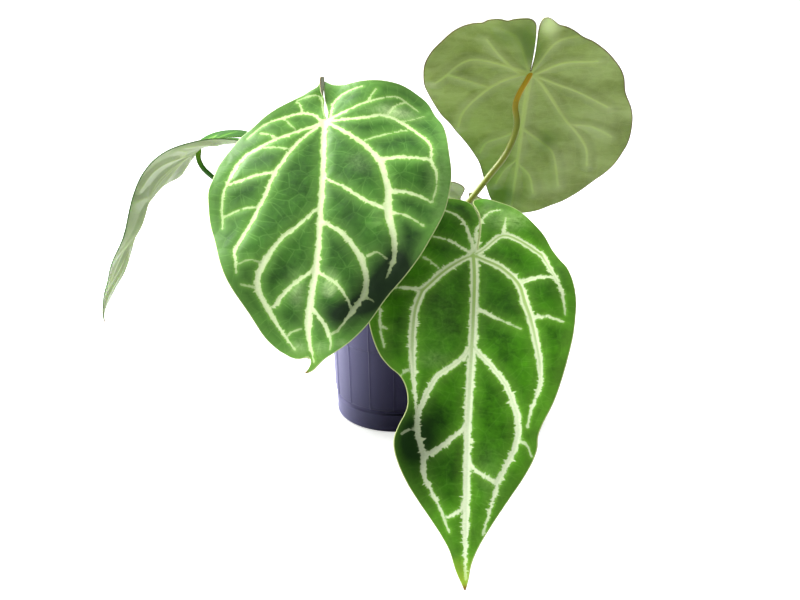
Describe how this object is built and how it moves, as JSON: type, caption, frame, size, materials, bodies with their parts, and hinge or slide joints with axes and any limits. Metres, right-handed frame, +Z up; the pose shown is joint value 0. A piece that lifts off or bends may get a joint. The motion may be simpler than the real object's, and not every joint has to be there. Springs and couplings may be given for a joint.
{
  "type": "potted anthurium plant",
  "caption": "Young anthurium with heart-shaped, pale-veined leaves on arching stalks, growing from a short stem in a ribbed plastic nursery pot of potting mix.",
  "frame": {"origin": "The centre of the pot's flat underside, where the plant stands.", "axes": "+Z up, -Y towards the viewer of the picture, +X to the viewer's right."},
  "size_m": [0.3352, 0.3191, 0.2482],
  "materials": {
    "pot_plastic": "satin moulded plastic, purple-black",
    "potting_mix": "bark and fibre, dull and lumpy",
    "stem_skin": "dull olive green skin with leaf scars",
    "stalk_skin": "smooth green skin, slightly glossy",
    "leaf_blade": "velvety green with pale veins above, paler and olive below"
  },
  "bodies": {
    "root": {"pot": "pot_plastic", "potting_mix": "potting_mix", "stem": "stem_skin", "stalk_front_left": "stalk_skin", "stalk_front_right": "stalk_skin", "stalk_back_right": "stalk_skin", "stalk_left": "stalk_skin", "stalk_back": "stalk_skin", "blade_front_left": "leaf_blade", "blade_front_right": "leaf_blade", "blade_back_right": "leaf_blade", "blade_left": "leaf_blade", "blade_back": "leaf_blade"}
  },
  "joints": []
}
